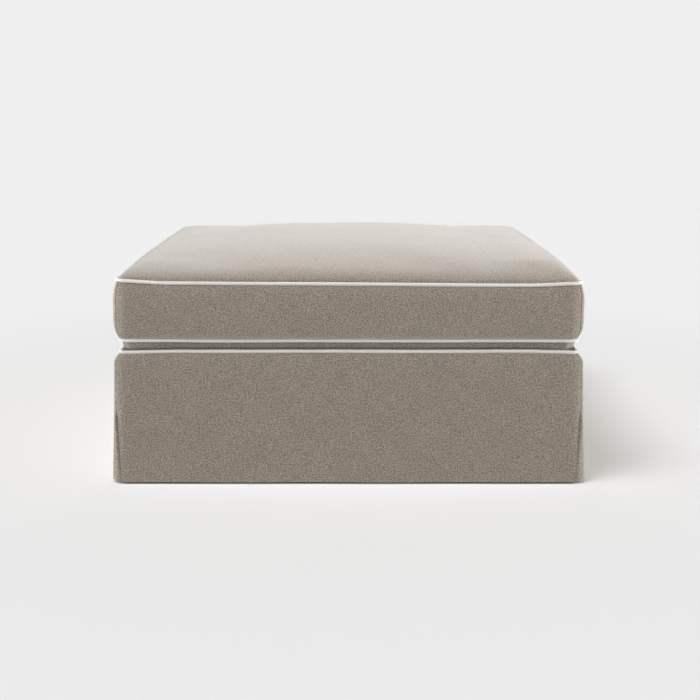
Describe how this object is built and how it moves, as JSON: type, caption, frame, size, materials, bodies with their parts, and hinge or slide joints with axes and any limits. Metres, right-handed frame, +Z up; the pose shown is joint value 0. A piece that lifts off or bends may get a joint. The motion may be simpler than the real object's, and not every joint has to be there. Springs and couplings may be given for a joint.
{
  "type": "ottoman",
  "caption": "Square slipcovered ottoman with a loose crowned box cushion, contrast piping, a floor-length skirt with corner kick pleats, and a timber frame on hidden feet.",
  "frame": {"origin": "on the floor, under the middle of the ottoman", "axes": "+Z up, -Y out of the front that the picture shows, +X to its right as the picture sees it"},
  "size_m": [0.982, 0.982, 0.4754],
  "materials": {
    "cover_fabric": "matte",
    "piping_fabric": "matte",
    "timber": "matte",
    "board": "matte",
    "steel": "satin",
    "glide_plastic": "satin",
    "black_cloth": "matte",
    "insulator_felt": "matte",
    "foam": "matte",
    "fibre": "matte",
    "zip_tape": "matte",
    "zip_plastic": "satin"
  },
  "bodies": {
    "base": {"top_rail_front": "timber", "bottom_rail_front": "timber", "side_board_front": "board", "skirt_front": "cover_fabric", "top_rail_back": "timber", "bottom_rail_back": "timber", "side_board_back": "board", "skirt_back": "cover_fabric", "top_rail_left": "timber", "bottom_rail_left": "timber", "side_board_left": "board", "skirt_left": "cover_fabric", "top_rail_right": "timber", "bottom_rail_right": "timber", "side_board_right": "board", "skirt_right": "cover_fabric", "corner_post_front_left": "timber", "foot_front_left": "timber", "pleat_underlay_front_left": "cover_fabric", "corner_post_front_right": "timber", "foot_front_right": "timber", "pleat_underlay_front_right": "cover_fabric", "corner_post_back_left": "timber", "foot_back_left": "timber", "pleat_underlay_back_left": "cover_fabric", "corner_post_back_right": "timber", "foot_back_right": "timber", "pleat_underlay_back_right": "cover_fabric", "spring_far_left": "steel", "spring_left": "steel", "spring_centre": "steel", "spring_right": "steel", "spring_far_right": "steel", "frame_screws": "steel", "foot_screws": "steel", "dust_cover_staples": "steel", "spring_clips": "steel", "centre_stretcher": "timber", "foot_glides": "glide_plastic", "dust_cover": "black_cloth", "insulator_sheet": "insulator_felt", "deck_foam": "foam", "side_wadding": "fibre", "deck_panel": "cover_fabric", "deck_piping": "piping_fabric"},
    "cushion": {"cushion_top_panel": "cover_fabric", "cushion_bottom_panel": "cover_fabric", "boxing_front": "cover_fabric", "boxing_left": "cover_fabric", "boxing_right": "cover_fabric", "boxing_back_upper": "cover_fabric", "boxing_back_lower": "cover_fabric", "cushion_piping_top": "piping_fabric", "cushion_piping_bottom": "piping_fabric", "foam_core": "foam", "fibre_wrap": "fibre", "zip_tapes": "zip_tape", "zip_teeth": "zip_plastic"},
    "zip_slider": {"zip_slider": "steel"},
    "zip_pull": {"zip_pull": "steel"}
  },
  "joints": [
    {"name": "cushion_lift", "type": "slide", "parent": "base", "child": "cushion", "axis": [0, 0, 1], "range_m": [0, 0.3]},
    {"name": "zip_run", "type": "slide", "parent": "cushion", "child": "zip_slider", "axis": [-1, 0, 0], "range_m": [0, 0.76]},
    {"name": "zip_pull_swing", "type": "hinge", "parent": "zip_slider", "child": "zip_pull", "pos_m": [0.382, 0.4855, 0.3571], "axis": [0, 0, -1], "range_deg": [0, 170]}
  ]
}
